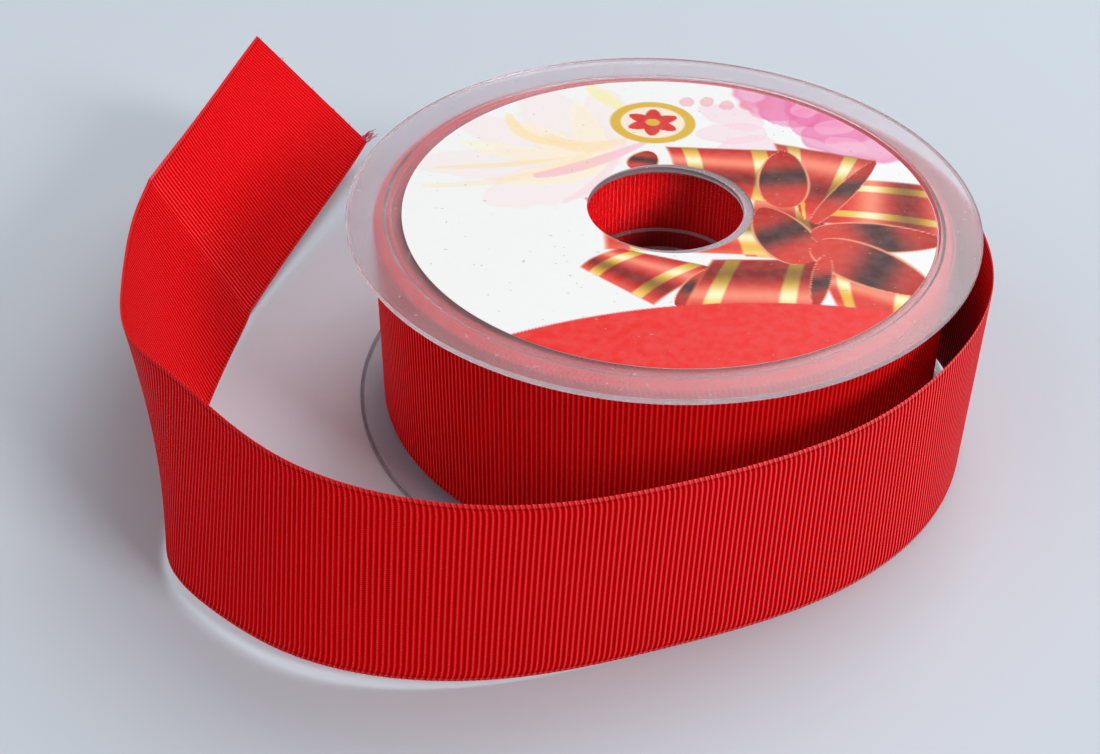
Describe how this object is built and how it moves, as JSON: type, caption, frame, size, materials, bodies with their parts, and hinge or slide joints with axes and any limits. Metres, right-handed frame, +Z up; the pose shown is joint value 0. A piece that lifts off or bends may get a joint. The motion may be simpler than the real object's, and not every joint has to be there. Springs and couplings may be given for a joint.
{
  "type": "ribbon spool",
  "caption": "Flanged plastic spool wound with wide ribbed gift ribbon, its loose end standing on edge round the spool.",
  "frame": {"origin": "on the spool's axis, in the plane that the lower flange's rim stands on", "axes": "+Z up along the spool's axis from the lower flange to the labelled one, -Y towards the side where the loose end passes in front"},
  "size_m": [0.1644, 0.1673, 0.0432],
  "materials": {
    "frosted_plastic": "frosted translucent moulding",
    "label_paper": "printed, smooth",
    "red_ribbon": "ribbed grosgrain",
    "clear_tape": "thin adhesive tape"
  },
  "bodies": {
    "spool": {"lower_flange": "frosted_plastic", "upper_flange": "frosted_plastic", "label": "label_paper", "ribbon_roll": "red_ribbon", "core_tape": "clear_tape"},
    "ribbon_end": {"free_ribbon": "red_ribbon"}
  },
  "joints": [
    {"name": "payout", "type": "hinge", "parent": "spool", "child": "ribbon_end", "pos_m": [0, 0, 0.0216], "axis": [0, 0, 1], "continuous": true}
  ]
}
